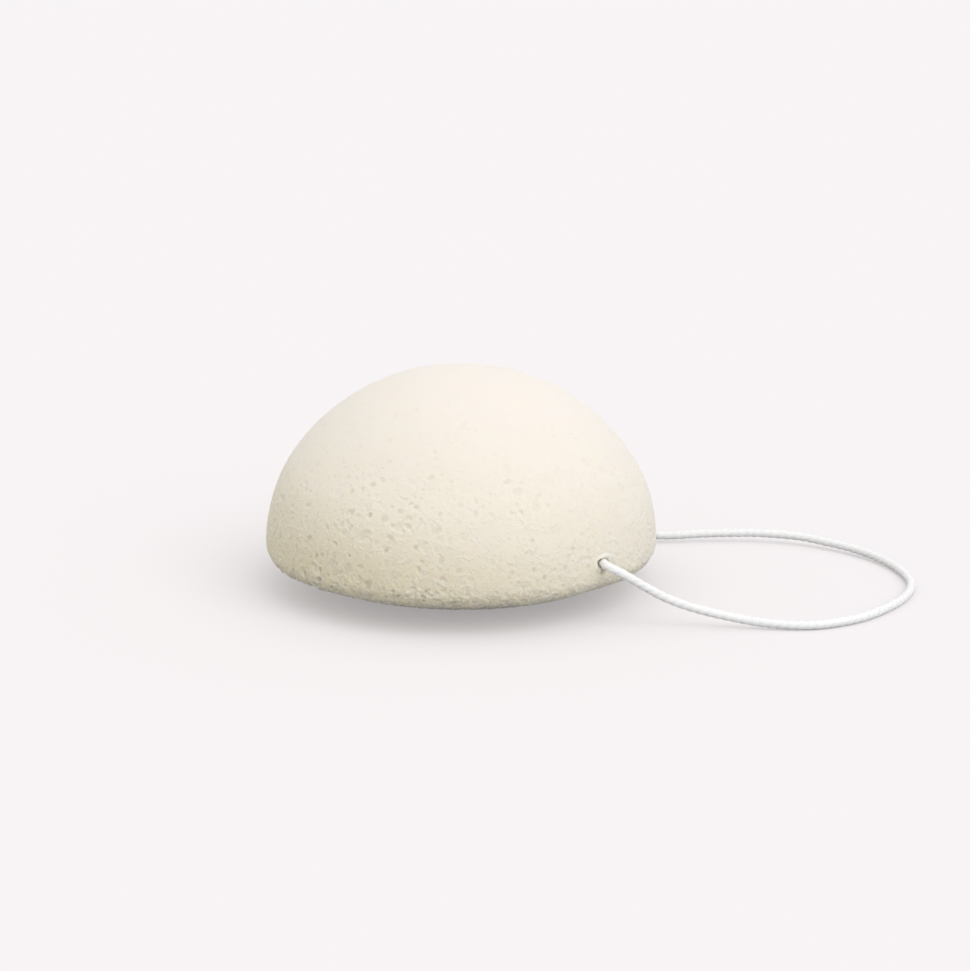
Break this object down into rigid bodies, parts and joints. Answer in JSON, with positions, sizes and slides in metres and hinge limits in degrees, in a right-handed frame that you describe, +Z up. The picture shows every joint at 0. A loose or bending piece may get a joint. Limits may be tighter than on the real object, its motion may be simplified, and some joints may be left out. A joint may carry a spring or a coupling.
{
  "type": "konjac sponge",
  "caption": "Half-ball konjac facial sponge with a domed top, a shallow rounded underside and a thin cotton hanging loop knotted through its lower edge.",
  "frame": {"origin": "middle of the flat patch that the sponge rests on", "axes": "+Z up through the middle of the dome, +X towards the hanging loop, -Y towards the side with the plain front mouth of the string's channel"},
  "size_m": [0.1314, 0.079, 0.0445],
  "materials": {
    "konjac_foam": "matt, slightly translucent ivory gel foam with fine open cells",
    "cotton_string": "matt white twisted cotton"
  },
  "bodies": {
    "sponge": {"sponge_body": "konjac_foam", "string_inside": "cotton_string", "string_knot": "cotton_string"},
    "loop": {"string_loop": "cotton_string"}
  },
  "joints": [
    {"name": "loop_swing", "type": "hinge", "parent": "sponge", "child": "loop", "pos_m": [0.0275, 0, 0.012], "axis": [0, -1, 0], "range_deg": [0, 140]}
  ]
}
